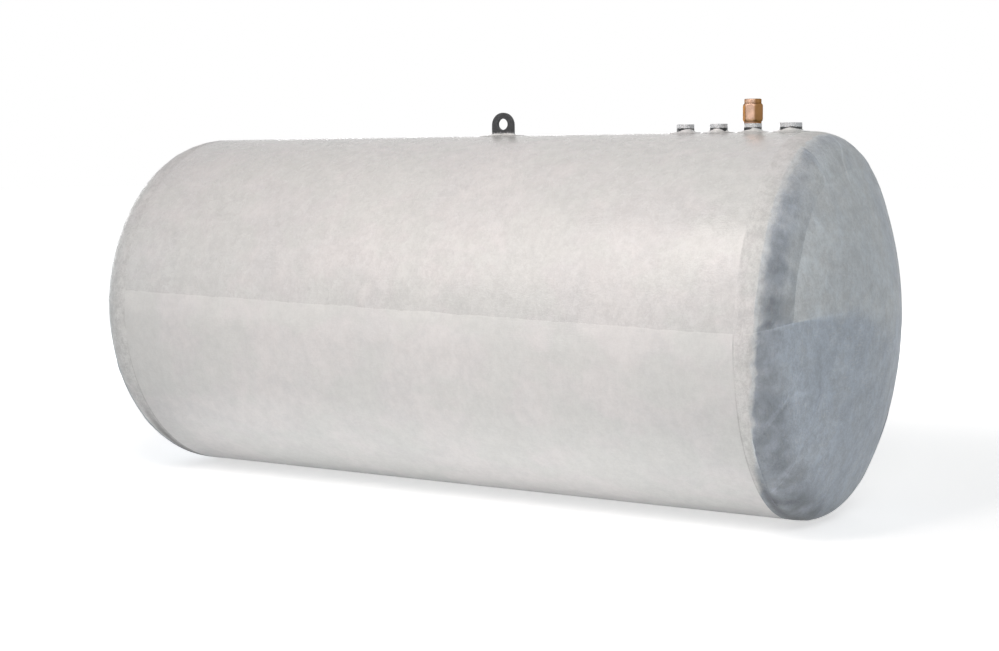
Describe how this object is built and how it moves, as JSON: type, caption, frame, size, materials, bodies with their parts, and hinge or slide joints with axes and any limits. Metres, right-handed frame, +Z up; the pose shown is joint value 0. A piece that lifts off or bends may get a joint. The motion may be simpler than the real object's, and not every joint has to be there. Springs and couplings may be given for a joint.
{
  "type": "heating oil tank",
  "caption": "Horizontal cylindrical steel heating oil tank with dished ends, glass-fibre laminate coat, threaded sockets, brass riser fitting and lifting lug on top.",
  "frame": {"origin": "on the floor under the middle of the tank", "axes": "+X along the tank towards the end with the sockets, +Y to the back, +Z up"},
  "size_m": [2.771, 1.212, 1.309],
  "materials": {
    "vessel_steel": "matte",
    "socket_steel": "satin",
    "lug_steel": "satin",
    "laminate": "satin",
    "laminate_ends": "satin",
    "brass": "satin"
  },
  "bodies": {
    "root": {"shell_course_left": "vessel_steel", "shell_course_right": "vessel_steel", "head_left": "vessel_steel", "head_right": "vessel_steel", "socket_1": "socket_steel", "socket_2": "socket_steel", "socket_3": "socket_steel", "socket_4": "socket_steel", "lifting_lug": "lug_steel", "sheet_upper": "laminate", "sheet_lower": "laminate", "cap_left": "laminate_ends", "cap_right": "laminate_ends", "collar_1": "laminate", "collar_2": "laminate", "collar_3": "laminate", "collar_4": "laminate", "lug_patch": "laminate", "riser_body": "brass", "riser_nut": "brass", "riser_ring": "brass", "strip_left_top": "laminate_ends", "strip_left_top_front": "laminate_ends", "strip_left_upper_front": "laminate_ends", "strip_left_middle_front": "laminate_ends", "strip_left_lower_front": "laminate_ends", "strip_left_foot_front": "laminate_ends", "strip_left_upper_back": "laminate_ends", "strip_left_middle_back": "laminate_ends", "strip_left_lower_back": "laminate_ends", "strip_left_foot_back": "laminate_ends", "strip_left_bottom": "laminate_ends", "strip_right_top": "laminate_ends", "strip_right_top_front": "laminate_ends", "strip_right_upper_front": "laminate_ends", "strip_right_middle_front": "laminate_ends", "strip_right_lower_front": "laminate_ends", "strip_right_foot_front": "laminate_ends", "strip_right_upper_back": "laminate_ends", "strip_right_middle_back": "laminate_ends", "strip_right_lower_back": "laminate_ends", "strip_right_foot_back": "laminate_ends", "strip_right_bottom": "laminate_ends"}
  },
  "joints": []
}
